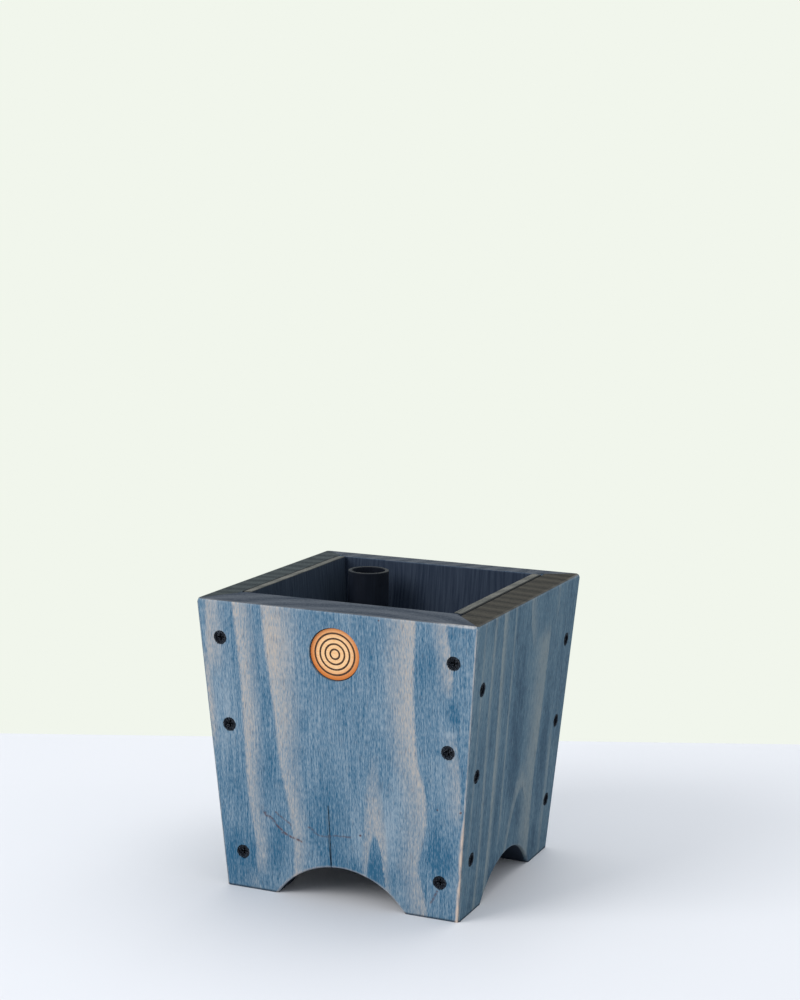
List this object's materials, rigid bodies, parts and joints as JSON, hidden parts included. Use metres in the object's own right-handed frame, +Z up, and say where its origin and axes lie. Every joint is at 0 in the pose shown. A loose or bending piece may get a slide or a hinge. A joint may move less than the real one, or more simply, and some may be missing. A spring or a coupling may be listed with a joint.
{
  "type": "wooden planter",
  "caption": "Tapered square planter of stained boards with arched feet, screwed mitred corners and lined sides, holding a lift-out water tray, soil shelf, wick basket and filling tube.",
  "frame": {"origin": "on the ground, under the middle of the planter", "axes": "+Z up, -Y towards the front with the badge, +X to the right as seen from the front"},
  "size_m": [0.1838, 0.1838, 0.1855],
  "materials": {
    "stained_pine": "matt blue stain with the grain showing",
    "lining_pine": "thin matt blue-grey stain",
    "bare_pine": "bare, sawn",
    "badge_wood": "bare with a scorched edge",
    "black_screw": "black phosphate",
    "black_plastic": "satin"
  },
  "bodies": {
    "case": {"front_panel": "stained_pine", "back_panel": "stained_pine", "left_panel": "stained_pine", "right_panel": "stained_pine", "left_lining": "lining_pine", "right_lining": "lining_pine", "front_cleat": "bare_pine", "back_cleat": "bare_pine", "left_cleat": "bare_pine", "right_cleat": "bare_pine", "floor_board": "bare_pine", "front_screws": "black_screw", "back_screws": "black_screw", "left_screws": "black_screw", "right_screws": "black_screw", "cleat_screws": "black_screw", "floor_screws": "black_screw", "badge": "badge_wood"},
    "tray": {"water_tray": "black_plastic"},
    "shelf": {"soil_shelf": "black_plastic"},
    "basket": {"wick_basket": "black_plastic"},
    "tube": {"fill_tube": "black_plastic"}
  },
  "joints": [
    {"name": "tray_lift", "type": "slide", "parent": "case", "child": "tray", "axis": [0, 0, 1], "range_m": [0, 0.14]},
    {"name": "shelf_lift", "type": "slide", "parent": "tray", "child": "shelf", "axis": [0, 0, 1], "range_m": [0, 0.14]},
    {"name": "basket_lift", "type": "slide", "parent": "shelf", "child": "basket", "axis": [0, 0, 1], "range_m": [0, 0.14]},
    {"name": "tube_lift", "type": "slide", "parent": "tray", "child": "tube", "axis": [0, 0, 1], "range_m": [0, 0.14]}
  ]
}
